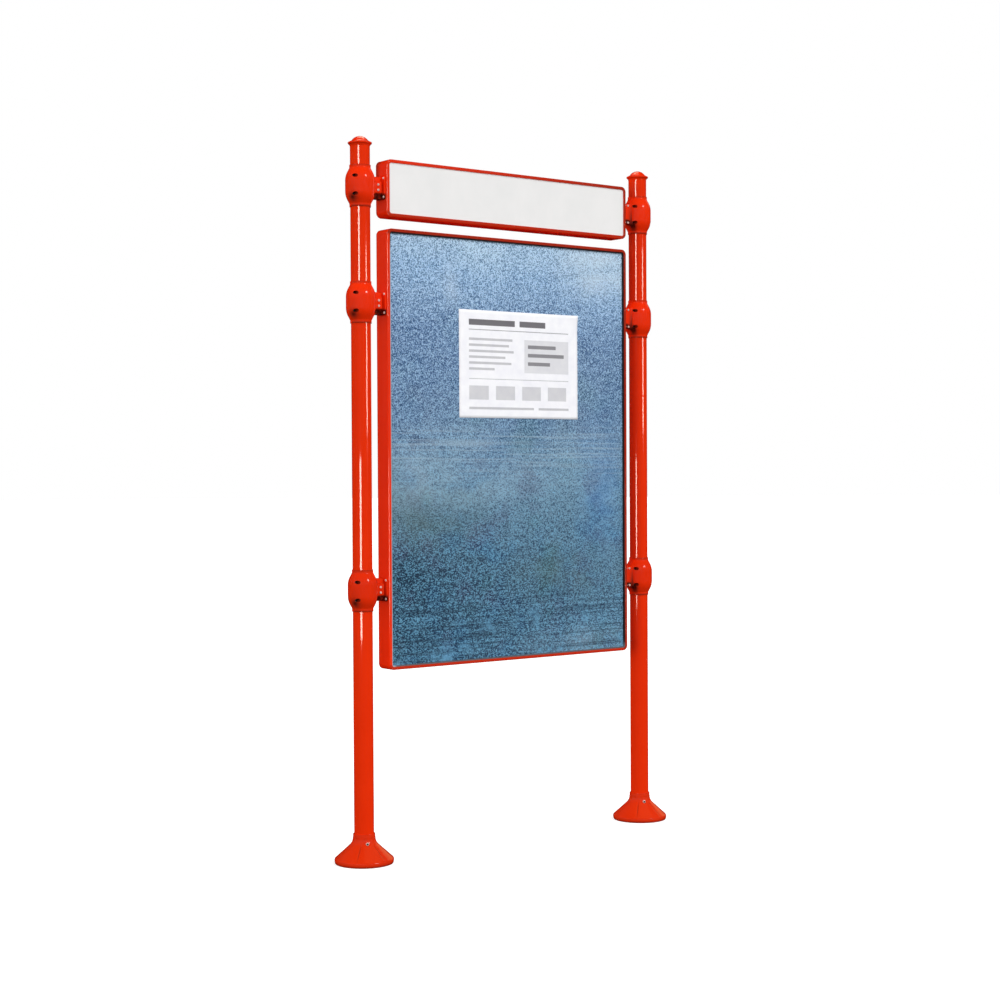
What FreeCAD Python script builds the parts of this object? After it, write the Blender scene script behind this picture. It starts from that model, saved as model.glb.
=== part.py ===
import FreeCAD, Part
import math
import os

from FreeCAD import Vector

# Outdoor notice board on two posts, in millimetres.
# X runs along the board, -Y is the reading side, +Z is up, and the origin is on the ground between the posts.

# Trays: a tall display tray and a narrow header tray of the same width and depth
TRAY_WIDTH = 1220.0
TRAY_DEPTH = 76.0
TRAY_CORNER = 22.0
TRAY_WALL = 3.0
TRAY_FRONT_ROUND = 4.0
GROUND_CLEARANCE = 735.0
BOARD_HEIGHT = 1700.0
BOARD_LIP = 12.0
BOARD_RECESS = 10.0
HEADER_GAP = 45.0
HEADER_HEIGHT = 220.0
HEADER_LIP = 13.0
HEADER_RECESS = 4.0
DISPLAY_SHEET = 1.5
HEADER_PLATE = 3.0
PANEL_EDGE_GAP = 1.0
BACK_SHEET = 1.5
BACK_RETURN = 8.0
BACK_EDGE_GAP = 0.5
STIFFENER_FLANGE = 40.0
STIFFENER_WALL = 2.0
STIFFENER_SPREAD = 600.0
STIFFENER_END_GAP = 6.0

# Notice: one untrimmed sheet of landscape poster paper
NOTICE_WIDTH = 610.0
NOTICE_HEIGHT = 430.0
NOTICE_THICKNESS = 0.4
NOTICE_SHIFT = 40.0
NOTICE_DROP = 292.0

# Posts: round steel tube, set a gap away from the sides of the trays
POST_DIAMETER = 76.1
POST_WALL = 3.2
POST_RISE = 42.0
SIDE_GAP = 60.0

# Base plates, hidden under the foot skirts
BASE_WIDTH = 150.0
BASE_CORNER = 10.0
BASE_THICKNESS = 10.0
ANCHOR_CIRCLE = 150.0
ANCHOR_HOLE = 14.0
ANCHOR_COUNT = 4

# Foot skirts: cast cones that slide on the posts
SKIRT_DIAMETER = 228.0
SKIRT_HEIGHT = 114.0
SKIRT_EDGE = 18.0
SKIRT_NECK_HEIGHT = 31.0
SKIRT_HUB_LENGTH = 50.0
SKIRT_WALL = 5.0
SKIRT_NECK_WALL = 4.0
SKIRT_RUNNING_GAP = 0.5
CREASE_COUNT = 6
CREASE_DEPTH = 2.0
CREASE_TOOL = 8.0
SKIRT_SCREW_BEARING = -108.0
SKIRT_SCREW_DROP = 34.0
SKIRT_SCREW_POCKET = 14.0
SKIRT_SCREW_SEAT = 8.0

# Post caps
CAP_RIM_OVERHANG = 8.0
CAP_FLARE_HEIGHT = 10.0
CAP_RIM_HEIGHT = 3.5
CAP_SHOULDER_HEIGHT = 8.0
CAP_DOME_INSET = 14.0
CAP_DOME_HEIGHT = 17.0
CAP_SPIGOT_LENGTH = 40.0
CAP_SPIGOT_WALL = 4.0
CAP_SPIGOT_GAP = 0.3

# Clamps: two cast half shells round the post, with lugs that grip a tab of the frame bracket
CLAMP_HEIGHT = 160.0
CLAMP_NECK_LENGTH = 12.0
CLAMP_NECK_WALL = 2.75
CLAMP_BARREL_WALL = 18.75
CLAMP_SHOULDER_LENGTH = 30.0
CLAMP_BORE_GAP = 0.2
CLAMP_SPLIT = 1.0
UPPER_CLAMP_INSET = 288.0
LOWER_CLAMP_INSET = 311.0
BOLT_POCKET = 13.0
BOLT_RISE = 34.0
BOLT_SEAT = 14.0
BOLT_WALL = 2.55
BOLT_DIAMETER = 6.0
LUG_THICKNESS = 14.0
SHORT_LUG_HEIGHT = 48.0
TALL_LUG_HEIGHT = 88.0
LUG_ROUND = 5.0
LUG_END_GAP = 5.0
LUG_ROOT_BITE = 10.0
TAB_THICKNESS = 10.0
TAB_HEIGHT = 84.0
TAB_START_GAP = 2.0
BRACKET_THICKNESS = 6.0
BRACKET_WIDTH = 56.0
BRACKET_HEIGHT = 90.0
BRACKET_CORNER = 8.0
BACKING_THICKNESS = 5.0
BACKING_WIDTH = 50.0

# Places worked out from the sizes above
post_radius = POST_DIAMETER / 2
side_reach = post_radius + SIDE_GAP
post_x = TRAY_WIDTH / 2 + side_reach
tray_front = -TRAY_DEPTH / 2
tray_rear = TRAY_DEPTH / 2
board_top = GROUND_CLEARANCE + BOARD_HEIGHT
header_bottom = board_top + HEADER_GAP
header_top = header_bottom + HEADER_HEIGHT
post_top = header_top + POST_RISE
clamp_bore = post_radius + CLAMP_BORE_GAP
barrel_radius = clamp_bore + CLAMP_BARREL_WALL
plate_start = side_reach - BRACKET_THICKNESS
clamp_heights = {
    "header": (header_bottom + header_top) / 2,
    "upper": board_top - UPPER_CLAMP_INSET,
    "lower": GROUND_CLEARANCE + LOWER_CLAMP_INSET,
}

X_AXIS = Vector(1, 0, 0)
Y_AXIS = Vector(0, 1, 0)
Z_AXIS = Vector(0, 0, 1)
ORIGIN = Vector(0, 0, 0)


def front_view(a, b):
    """A point of an outline drawn as seen from the front."""
    return Vector(a, 0, b)


def side_view(a, b):
    """A point of an outline drawn as seen from the side."""
    return Vector(0, a, b)


def outline(corners, view):
    """A closed wire through corners, each two coordinates and, where it is rounded, a radius."""
    points = [view(*corner[:2]) for corner in corners]
    runs = []
    for index, corner in enumerate(corners):
        here = points[index]
        radius = corner[2] if len(corner) > 2 else 0
        if not radius:
            runs.append((here, here, here))
            continue
        back = (points[index - 1] - here).normalize()
        ahead = (points[(index + 1) % len(points)] - here).normalize()
        half_angle = back.getAngle(ahead) / 2
        inward = (back + ahead).normalize()
        tangent = radius / math.tan(half_angle)
        middle = here + inward * (radius / math.sin(half_angle) - radius)
        runs.append((here + back * tangent, middle, here + ahead * tangent))
    edges = []
    for index, (start, middle, end) in enumerate(runs):
        if (end - start).Length > 1e-6:
            edges.append(Part.Arc(start, middle, end).toShape())
        following = runs[(index + 1) % len(runs)][0]
        edges.append(Part.LineSegment(end, following).toShape())
    return Part.Wire(edges)


def turned(corners):
    """A solid turned about the post's axis from an outline of radius and height."""
    return Part.Face(outline(corners, front_view)).revolve(ORIGIN, Z_AXIS, 360)


def slab(corners, front, rear):
    """A plate with a front-view outline, from one depth to another."""
    face = Part.Face(outline(corners, front_view))
    face.translate(Vector(0, front, 0))
    return face.extrude(Vector(0, rear - front, 0))


def bar(corners, start, end):
    """A bar with a side-view section, running along X."""
    face = Part.Face(outline(corners, side_view))
    face.translate(Vector(start, 0, 0))
    return face.extrude(Vector(end - start, 0, 0))


def rectangle(width, height, low, corner=0.0):
    """Corners of a rectangle centred on the outline's first axis, standing on a height."""
    half = width / 2
    top = low + height
    return [(-half, low, corner), (half, low, corner), (half, top, corner), (-half, top, corner)]


def moved(shape, x=0.0, y=0.0, z=0.0):
    """A copy of a shape at another place."""
    copy = shape.copy()
    copy.translate(Vector(x, y, z))
    return copy


def make_post():
    """The tube, standing on its base plate."""
    inner = post_radius - POST_WALL
    return turned([(inner, BASE_THICKNESS), (post_radius, BASE_THICKNESS), (post_radius, post_top), (inner, post_top)])


def make_base_plate():
    """The square plate under the tube with its anchor holes on a circle."""
    plate = slab(rectangle(BASE_WIDTH, BASE_WIDTH, -BASE_WIDTH / 2, BASE_CORNER), 0, BASE_THICKNESS)
    plate.rotate(ORIGIN, X_AXIS, 90)
    for index in range(ANCHOR_COUNT):
        bearing = math.radians(360 * (index + 0.5) / ANCHOR_COUNT)
        reach = ANCHOR_CIRCLE / 2
        place = Vector(reach * math.cos(bearing), reach * math.sin(bearing), 0)
        plate = plate.cut(Part.makeCylinder(ANCHOR_HOLE / 2, BASE_THICKNESS, place))
    return plate


def make_cap():
    """Flared rim, sloping shoulder and dome over the tube's end, with a spigot inside the tube."""
    spigot = post_radius - POST_WALL - CAP_SPIGOT_GAP
    rim = post_radius + CAP_RIM_OVERHANG
    rim_low = post_top + CAP_FLARE_HEIGHT
    rim_high = rim_low + CAP_RIM_HEIGHT
    dome_low = rim_high + CAP_SHOULDER_HEIGHT
    dome = rim - CAP_DOME_INSET
    body = turned(
        [
            (0, post_top),
            (spigot - CAP_SPIGOT_WALL, post_top),
            (spigot - CAP_SPIGOT_WALL, post_top - CAP_SPIGOT_LENGTH),
            (spigot, post_top - CAP_SPIGOT_LENGTH),
            (spigot, post_top),
            (post_radius, post_top),
            (rim, rim_low),
            (rim, rim_high),
            (dome, dome_low),
            (0, dome_low),
        ]
    )
    sphere = (dome**2 + CAP_DOME_HEIGHT**2) / (2 * CAP_DOME_HEIGHT)
    centre = Vector(0, 0, dome_low + CAP_DOME_HEIGHT - sphere)
    low_latitude = math.degrees(math.asin(1 - CAP_DOME_HEIGHT / sphere))
    return body.fuse(Part.makeSphere(sphere, centre, Z_AXIS, low_latitude, 90))


def make_skirt():
    """Hollow cone with an upright rim, a neck on the post, radial creases and a pocket for its set screw."""
    bore = post_radius + SKIRT_RUNNING_GAP
    neck = bore + SKIRT_NECK_WALL
    rim = SKIRT_DIAMETER / 2
    cone_top = SKIRT_HEIGHT - SKIRT_NECK_HEIGHT
    slope = (cone_top - SKIRT_EDGE) / (rim - neck)
    drop = SKIRT_WALL * math.hypot(1, slope)
    inner_rim = rim - SKIRT_WALL
    hub_bottom = SKIRT_HEIGHT - SKIRT_HUB_LENGTH
    skirt = turned(
        [
            (inner_rim, 0),
            (rim, 0),
            (rim, SKIRT_EDGE),
            (neck, cone_top),
            (neck, SKIRT_HEIGHT),
            (bore, SKIRT_HEIGHT),
            (bore, hub_bottom),
            (neck + (cone_top - drop - hub_bottom) / slope, hub_bottom),
            (inner_rim, SKIRT_EDGE + SKIRT_WALL * slope - drop),
        ]
    )
    length = math.hypot(rim - neck, cone_top - SKIRT_EDGE)
    groove = Part.makeBox(length, CREASE_TOOL, CREASE_TOOL, Vector(-length, -CREASE_TOOL / 2, -CREASE_TOOL / 2))
    groove.rotate(ORIGIN, X_AXIS, 45)
    groove.translate(Vector(0, 0, CREASE_TOOL / math.sqrt(2) - CREASE_DEPTH))
    groove.rotate(ORIGIN, Y_AXIS, math.degrees(math.atan(slope)))
    groove.translate(Vector(rim, 0, SKIRT_EDGE))
    for index in range(CREASE_COUNT):
        crease = groove.copy()
        crease.rotate(ORIGIN, Z_AXIS, SKIRT_SCREW_BEARING + 360 * (index + 0.5) / CREASE_COUNT)
        skirt = skirt.cut(crease)
    seat = Vector(bore + SKIRT_SCREW_SEAT, 0, SKIRT_HEIGHT - SKIRT_SCREW_DROP)
    pocket = Part.makeCylinder(SKIRT_SCREW_POCKET / 2, rim, seat, X_AXIS)
    pocket.rotate(ORIGIN, Z_AXIS, SKIRT_SCREW_BEARING)
    return skirt.cut(pocket)


def make_clamp_half(facing, lug_height):
    """Half a barrel round the post with a lug towards the board; facing is -1 in front and 1 behind."""
    neck = clamp_bore + CLAMP_NECK_WALL
    top = CLAMP_HEIGHT / 2
    shoulder = top - CLAMP_NECK_LENGTH
    belly = shoulder - CLAMP_SHOULDER_LENGTH
    barrel = turned(
        [
            (clamp_bore, -top),
            (neck, -top),
            (neck, -shoulder),
            (barrel_radius, -belly),
            (barrel_radius, belly),
            (neck, shoulder),
            (neck, top),
            (clamp_bore, top),
        ]
    )
    half_space = slab(rectangle(4 * barrel_radius, CLAMP_HEIGHT, -top), facing * CLAMP_SPLIT / 2, facing * 2 * barrel_radius)
    inside = facing * TAB_THICKNESS / 2
    outside = inside + facing * LUG_THICKNESS
    edge = lug_height / 2
    section = [(inside, -edge), (outside, -edge, LUG_ROUND), (outside, edge, LUG_ROUND), (inside, edge)]
    lug = bar(section, barrel_radius - LUG_ROOT_BITE, plate_start - LUG_END_GAP)
    half = barrel.common(half_space).fuse(lug).removeSplitter()
    if facing < 0:
        reach = clamp_bore + BOLT_WALL + BOLT_DIAMETER / 2
        for x in (-reach, reach):
            for z in (-BOLT_RISE, BOLT_RISE):
                seat = Vector(x, -BOLT_SEAT, z)
                half = half.cut(Part.makeCylinder(BOLT_POCKET / 2, barrel_radius, seat, -Y_AXIS))
    return half


def make_bracket():
    """Plate on the tray's side with the tab that the lugs grip."""
    plate_corners = rectangle(BRACKET_WIDTH, BRACKET_HEIGHT, -BRACKET_HEIGHT / 2, BRACKET_CORNER)
    plate = bar(plate_corners, plate_start, side_reach)
    tab = bar(rectangle(TAB_THICKNESS, TAB_HEIGHT, -TAB_HEIGHT / 2), barrel_radius + TAB_START_GAP, plate_start)
    return plate.fuse(tab).removeSplitter()


def make_backing_plate():
    """Plate inside the tray, behind a bracket."""
    start = side_reach + TRAY_WALL
    return bar(rectangle(BACKING_WIDTH, BRACKET_HEIGHT, -BRACKET_HEIGHT / 2), start, start + BACKING_THICKNESS)


def inset_rectangle(low, height, inset):
    """The tray's rounded outline, drawn in by an inset."""
    return rectangle(TRAY_WIDTH - 2 * inset, height - 2 * inset, low + inset, TRAY_CORNER - inset)


def make_rails(low, height, lip, recess):
    """The four folded rails of a tray, mitred at its rounded corners."""
    ring = slab(inset_rectangle(low, height, 0), tray_front, tray_rear)
    rim = [edge for edge in ring.Edges if edge.BoundBox.YMax < tray_front + TRAY_FRONT_ROUND]
    ring = ring.makeFillet(TRAY_FRONT_ROUND, rim)
    ring = ring.cut(slab(inset_rectangle(low, height, lip), tray_front, tray_rear))
    ring = ring.cut(slab(inset_rectangle(low, height, TRAY_WALL), tray_front + recess, tray_rear))
    half = TRAY_WIDTH / 2
    top = low + height
    deep = TRAY_CORNER
    sectors = {
        "top": [(-half, top), (half, top), (half - deep, top - deep), (deep - half, top - deep)],
        "bottom": [(-half, low), (half, low), (half - deep, low + deep), (deep - half, low + deep)],
        "left": [(-half, low), (deep - half, low + deep), (deep - half, top - deep), (-half, top)],
        "right": [(half, low), (half - deep, low + deep), (half - deep, top - deep), (half, top)],
    }
    return {side: ring.common(slab(corners, tray_front, tray_rear)) for side, corners in sectors.items()}


def make_panel(low, height, inset, front, thickness):
    """A flat panel inside a tray, clear of its walls."""
    return slab(inset_rectangle(low, height, inset), front, front + thickness)


def make_back_panel(low, height):
    """A folded pan that closes the tray from behind."""
    inset = TRAY_WALL + BACK_EDGE_GAP
    pan = make_panel(low, height, inset, tray_rear - BACK_RETURN, BACK_RETURN)
    return pan.cut(make_panel(low, height, inset + BACK_SHEET, tray_rear - BACK_RETURN, BACK_RETURN - BACK_SHEET))


def make_stiffener(low, height, front):
    """An upright channel between the front panel and the back panel, open towards the left of the tray."""
    rear = tray_rear - BACK_SHEET
    web = -STIFFENER_SPREAD / 2
    edge = web - STIFFENER_FLANGE
    inset = TRAY_WALL + STIFFENER_END_GAP
    size = (STIFFENER_FLANGE, rear - front, height - 2 * inset)
    channel = Part.makeBox(*size, Vector(edge, front, low + inset))
    hollow = moved(channel, x=-STIFFENER_WALL)
    hollow = hollow.common(moved(channel, y=STIFFENER_WALL, x=-STIFFENER_WALL))
    hollow = hollow.common(moved(channel, y=-STIFFENER_WALL, x=-STIFFENER_WALL))
    return channel.cut(hollow)


def make_notice():
    """The paper, lying on the front of the display sheet."""
    face = tray_front + BOARD_RECESS
    low = board_top - NOTICE_DROP - NOTICE_HEIGHT
    notice = slab(rectangle(NOTICE_WIDTH, NOTICE_HEIGHT, low), face - NOTICE_THICKNESS, face)
    return moved(notice, x=NOTICE_SHIFT)


def add_pair(pieces, name, shape):
    """Adds a left-hand piece and its mirror image on the right."""
    pieces[f"left_{name}"] = shape
    pieces[f"right_{name}"] = shape.mirror(ORIGIN, X_AXIS)


def add_tray(pieces, name, low, height, lip, recess, panel_name, panel_thickness):
    """Adds all the sheet pieces of one tray."""
    front = tray_front + recess
    for side, rail in make_rails(low, height, lip, recess).items():
        pieces[f"{name}_{side}_rail"] = rail
    pieces[panel_name] = make_panel(low, height, TRAY_WALL + PANEL_EDGE_GAP, front, panel_thickness)
    pieces[f"{name}_back_panel"] = make_back_panel(low, height)
    add_pair(pieces, f"{name}_stiffener", make_stiffener(low, height, front + panel_thickness))


def make_pieces():
    """Every node of the notice board by name."""
    pieces = {}
    add_pair(pieces, "post", moved(make_post(), x=-post_x))
    add_pair(pieces, "base_plate", moved(make_base_plate(), x=-post_x))
    add_pair(pieces, "post_cap", moved(make_cap(), x=-post_x))
    pieces["left_foot_skirt"] = moved(make_skirt(), x=-post_x)
    pieces["right_foot_skirt"] = moved(make_skirt(), x=post_x)
    left_clamp = {"front": make_clamp_half(-1, SHORT_LUG_HEIGHT), "rear": make_clamp_half(1, TALL_LUG_HEIGHT)}
    right_clamp = {"front": make_clamp_half(-1, TALL_LUG_HEIGHT), "rear": make_clamp_half(1, SHORT_LUG_HEIGHT)}
    for level, height in clamp_heights.items():
        for half in ("front", "rear"):
            pieces[f"left_{level}_clamp_{half}"] = moved(left_clamp[half], x=-post_x, z=height)
            mirrored = right_clamp[half].mirror(ORIGIN, X_AXIS)
            pieces[f"right_{level}_clamp_{half}"] = moved(mirrored, x=post_x, z=height)
        add_pair(pieces, f"{level}_bracket", moved(make_bracket(), x=-post_x, z=height))
        add_pair(pieces, f"{level}_backing_plate", moved(make_backing_plate(), x=-post_x, z=height))
    header = (header_bottom, HEADER_HEIGHT, HEADER_LIP, HEADER_RECESS)
    add_tray(pieces, "header", *header, "header_plate", HEADER_PLATE)
    board = (GROUND_CLEARANCE, BOARD_HEIGHT, BOARD_LIP, BOARD_RECESS)
    add_tray(pieces, "board", *board, "display_sheet", DISPLAY_SHEET)
    pieces["notice_sheet"] = make_notice()
    return pieces


os.makedirs("parts", exist_ok=True)
for node, shape in make_pieces().items():
    shape.exportStep(f"parts/{node}.step")
    print(node, len(shape.Solids), round(shape.Volume / 1000, 1), "cm3", "valid" if shape.isValid() else "INVALID")
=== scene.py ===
# %% [markdown]
# # An outdoor notice board, dressed for its portrait
# The real board is a red steel tray with a galvanised back sheet, a white header above it, and two tube
# posts that carry both on six cast clamps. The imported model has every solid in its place. This lesson
# keeps that model as a fixed frame and adds soft cast edges, screws, paint, zinc and paper.

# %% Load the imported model
import math

import bmesh
import bpy
import numpy as np
from mathutils import Matrix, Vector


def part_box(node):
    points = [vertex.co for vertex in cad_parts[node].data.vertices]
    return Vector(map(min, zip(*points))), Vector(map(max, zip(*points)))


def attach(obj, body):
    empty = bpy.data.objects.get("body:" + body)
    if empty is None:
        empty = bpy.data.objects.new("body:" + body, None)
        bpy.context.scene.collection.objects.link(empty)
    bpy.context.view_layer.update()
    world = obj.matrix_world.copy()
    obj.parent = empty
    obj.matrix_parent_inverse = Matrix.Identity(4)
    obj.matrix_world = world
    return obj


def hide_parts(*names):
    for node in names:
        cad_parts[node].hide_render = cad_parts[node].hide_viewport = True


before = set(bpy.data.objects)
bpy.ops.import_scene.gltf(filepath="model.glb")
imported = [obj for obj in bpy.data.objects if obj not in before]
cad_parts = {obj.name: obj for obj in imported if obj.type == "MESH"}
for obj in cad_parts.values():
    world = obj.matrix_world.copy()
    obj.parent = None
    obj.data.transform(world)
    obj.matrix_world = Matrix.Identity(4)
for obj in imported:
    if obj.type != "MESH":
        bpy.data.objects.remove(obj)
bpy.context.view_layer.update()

MM = 0.001
MERGE_DISTANCE = 2e-6
scene = bpy.context.scene


# %% Directions and shares
def unit(vector):
    """A vector's direction, with a length of one."""
    return vector / np.linalg.norm(vector)


def held(values):
    """Values held between 0 and 1."""
    return np.clip(values, 0, 1)


# %% [markdown]
# ## From a grid of points to a mesh
# A new piece could be drawn by hand with a mouse. Here it is computed: a surface is a grid of points,
# and four neighbours make one face. A grid that is joined to itself becomes a tube or a ring, and a flat
# face can close an open end.

# %% A grid as a shell
def shell(points, ring_rows=False, ring_columns=False, lids=""):
    """Vertices, faces and lids of a grid of points with shape (rows, columns, 3).
    Each face joins a point to its neighbours in the next row and column; a ring joins the last row or
    column to the first. Lids close the outermost rows or columns with one flat face each."""
    rows, columns = points.shape[:2]
    number = np.arange(rows * columns).reshape(rows, columns)
    closing = {"": [], "rows": [number[0], number[-1]], "columns": [number[:, 0], number[:, -1]]}[lids]
    if ring_rows:
        number = np.vstack([number, number[:1]])
    if ring_columns:
        number = np.hstack([number, number[:, :1]])
    faces = np.stack([number[:-1, :-1], number[1:, :-1], number[1:, 1:], number[:-1, 1:]], axis=-1)
    return points.reshape(-1, 3), faces.reshape(-1, 4), closing


def ring(points):
    """The shell of a closed profile that is carried round until it meets its start."""
    return shell(points, ring_rows=True, ring_columns=True)


def bar(points):
    """The shell of a closed section that is carried along and ends in two flat faces."""
    return shell(points, ring_columns=True, lids="rows")


def weld(name, shells):
    """One mesh from several shells in millimetres: points that meet are merged, faces turned outwards."""
    points, faces, start = [], [], 0
    for place, quads, closing in shells:
        points.append(place)
        faces += (quads + start).tolist() + [(lid + start).tolist() for lid in closing]
        start += len(place)
    mesh = bpy.data.meshes.new(name)
    mesh.from_pydata((np.vstack(points) * MM).tolist(), [], faces)
    work = bmesh.new()
    work.from_mesh(mesh)
    bmesh.ops.remove_doubles(work, verts=work.verts, dist=MERGE_DISTANCE)
    bmesh.ops.recalc_face_normals(work, faces=work.faces)
    work.to_mesh(mesh)
    work.free()
    return mesh


# %% Points, faces and the painted shade and dirt of a mesh
def rows_of(items, measure):
    """A measure of all the points or faces of a mesh, one row each."""
    values = np.empty(len(items) * 3, np.float32)
    items.foreach_get(measure, values)
    return values.reshape(-1, 3)


def corners_of(mesh):
    """The points of a mesh in millimetres."""
    return rows_of(mesh.vertices, "co") / MM


def paint_shade_and_dirt(mesh, shares):
    """Gives every point of a mesh its share of painted shade and dirt, for the finish to darken."""
    mesh.attributes.new("shade_and_dirt", "FLOAT", "POINT").data.foreach_set("value", shares.astype(np.float32))


# %% A mesh as a piece of the board
CRISP_EDGE = math.radians(32)
LIT = {
    name: bpy.data.collections.new(f"{name}_only")
    for name in ("posts", "posts_and_trays", "trays", "clamps", "skirts", "caps")
}


def placed(mesh):
    """A mesh as an object of the scene, under its own name."""
    item = bpy.data.objects.new(mesh.name, mesh)
    scene.collection.objects.link(item)
    return item


def piece_from(mesh, finish, body="board", stands_for=(), lit=()):
    """An object at the origin that rides on a body and joins the groups that have lamps of their own."""
    mesh.shade_smooth()
    mesh.set_sharp_from_angle(angle=CRISP_EDGE)
    mesh.materials.append(finish)
    piece = placed(mesh)
    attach(piece, body)
    if stands_for:
        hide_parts(*stands_for)
    for group in lit:
        LIT[group].objects.link(piece)
    print(f"{piece.name}: {len(mesh.vertices)} points, {len(mesh.polygons)} faces")
    return piece


# %% [markdown]
# ## Lines with rounded corners
# Castings, folded sheet and turned caps all have rounded corners, because tools and moulds have. A
# Bevel modifier could round them afterwards. Rounding the drawn line first keeps the radius exact and
# costs few faces.

# %% Rounded lines
def rounded(corners, closed=False, steps=7):
    """Points along a line through corners (a, b, radius). A corner with a radius becomes an arc that
    touches both of its sides: it starts radius / tan(half the corner's angle) before the corner."""
    places = np.array([corner[:2] for corner in corners], float)
    line = []
    for index, corner in enumerate(corners):
        here = places[index]
        radius = corner[2] if len(corner) > 2 else 0
        if not radius or (not closed and index in (0, len(corners) - 1)):
            line.append(here[None])
            continue
        back = unit(places[index - 1] - here)
        ahead = unit(places[(index + 1) % len(places)] - here)
        half = math.acos(np.clip(back @ ahead, -1, 1)) / 2
        centre = here + unit(back + ahead) * radius / math.sin(half)
        start = here + back * radius / math.tan(half) - centre
        end = here + ahead * radius / math.tan(half) - centre
        turn = math.atan2(start[0] * end[1] - start[1] * end[0], start @ end)
        angle = math.atan2(start[1], start[0]) + np.linspace(0, turn, steps + 1)
        line.append(centre + radius * np.stack([np.cos(angle), np.sin(angle)], axis=-1))
    return np.vstack(line)


def full_turn(sides):
    """Bearings all the way round, one for each side."""
    return np.linspace(0, 2 * np.pi, sides, endpoint=False)


def turned(profile, bearings, axis=0.0, height=0.0):
    """A profile of (radius, height) carried round an upright axis: x = axis + radius cos(bearing),
    y = radius sin(bearing), z = height."""
    radius, level = profile[:, 0], profile[:, 1]
    cosine, sine = np.cos(bearings)[:, None], np.sin(bearings)[:, None]
    return np.stack([axis + radius * cosine, radius * sine, height + level + 0 * cosine], axis=-1)


FULL_TURN = full_turn(144)
print("a quarter turn of 10 mm takes", len(rounded([(0, 0), (10, 0, 10), (10, 10)])) - 2, "points")

# %% [markdown]
# ## The camera
# A camera that is fitted to a photograph needs its place, three turns and a focal length. They were
# worked out from the posts, the trays and the notice, whose sizes are known, for a square picture. Yaw
# turns the view to the right of the board's own depth, pitch tips it down, and roll turns the picture.

# %% Camera
def stand(item, right, up, back, place):
    """Puts a camera or a lamp at a place, with its own axes along right, up and back."""
    pose = np.eye(4)
    pose[:3] = np.stack([right, up, back, place], axis=-1)
    item.matrix_world = Matrix(pose.tolist())
    scene.collection.objects.link(item)


CAMERA_PLACE = (-4.5513, -5.8685, 1.5078)
YAW, PITCH, ROLL = np.radians([37.536, -0.966, -0.289])
FOCAL_SHARE = 1.828118
SENSOR = 36.0

ahead = np.array([np.sin(YAW) * np.cos(PITCH), np.cos(YAW) * np.cos(PITCH), np.sin(PITCH)])
level = np.array([np.cos(YAW), -np.sin(YAW), 0.0])
upright = np.cross(level, ahead)
across = np.cos(ROLL) * level + np.sin(ROLL) * upright
upward = np.cos(ROLL) * upright - np.sin(ROLL) * level

camera = bpy.data.objects.new("camera", bpy.data.cameras.new("camera"))
stand(camera, across, upward, -ahead, CAMERA_PLACE)
camera.data.sensor_width = SENSOR
camera.data.lens = SENSOR * FOCAL_SHARE
camera.data.clip_end = 300.0
scene.camera = camera
print("lens", round(camera.data.lens, 2), "mm")

# %% [markdown]
# ## Networks of nodes
# Light and finishes are both made of nodes: one says where a point lies, others turn that into shares
# between 0 and 1, and the shares mix colours. Nodes could be placed by hand in an editor. As text they
# are easier to repeat with other numbers.

# %% Network
class Network:
    """A tree of nodes, and short names for the kinds that light and finishes need."""

    def __init__(self, tree, measure):
        self.tree = tree
        self.place = self.add("TexCoord").outputs[measure]

    def add(self, kind, inputs=(), **options):
        """A node with its options set and its inputs linked or filled in."""
        node = self.tree.nodes.new("ShaderNode" + kind)
        for option, value in options.items():
            setattr(node, option, value)
        for socket, value in dict(inputs).items():
            if isinstance(value, bpy.types.NodeSocket):
                self.tree.links.new(value, node.inputs[socket])
            else:
                node.inputs[socket].default_value = value
        return node

    def along(self, axis):
        """How far a place or a direction reaches along an axis."""
        return self.add("SeparateXYZ", {"Vector": self.place}).outputs[axis]

    def span(self, value, low, high, to_low=0.0, to_high=1.0):
        """A value moved from one range to another and held inside it."""
        inputs = {"Value": value, "From Min": low, "From Max": high, "To Min": to_low, "To Max": to_high}
        return self.add("MapRange", inputs).outputs["Result"]

    def join(self, operation, first, second):
        """Two values joined by an operation."""
        return self.add("Math", {0: first, 1: second}, operation=operation).outputs["Value"]

    def times(self, product, *values):
        """The product of all the values."""
        for value in values:
            product = self.join("MULTIPLY", product, value)
        return product

    def blend(self, share, first, second, kind="MIX"):
        """Two colours mixed by a share."""
        inputs = {"Fac": share, "Color1": first, "Color2": second}
        return self.add("MixRGB", inputs, blend_type=kind).outputs["Color"]

    def ramp(self, value, stops):
        """A value turned into a colour between stops of (place, colour)."""
        node = self.add("ValToRGB", {"Fac": value})
        elements = node.color_ramp.elements
        elements.remove(elements[1])
        elements[0].position, elements[0].color = stops[0]
        for position, colour in stops[1:]:
            elements.new(position).color = colour
        return node.outputs["Color"]


# %% [markdown]
# ## Light
# Red enamel keeps its deep red only where its gloss mirrors something dark, while its matt part needs
# light from all around. A white room would wash the red out. So the light is split: the camera sees white,
# a grey dome lights the matt part only, and the gloss sees nothing but lamps. The dome is brightest above
# the horizon and dark below, darkest to the lower left, which gives the castings their shaded bellies.

# %% Room
# greys of the dome from straight down, 0, over the horizon, 0.5, to straight up, 1
DOME_HEIGHTS = (0, 0.40, 0.50, 0.58, 0.74, 0.86, 1)
LEFT_GREYS = (0.05, 0.14, 1.10, 1.95, 1.30, 0.45, 0.15)
RIGHT_GREYS = (0.12, 0.38, 0.90, 1.25, 1.05, 0.45, 0.15)
DOME_STRENGTH = 1.22

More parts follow.
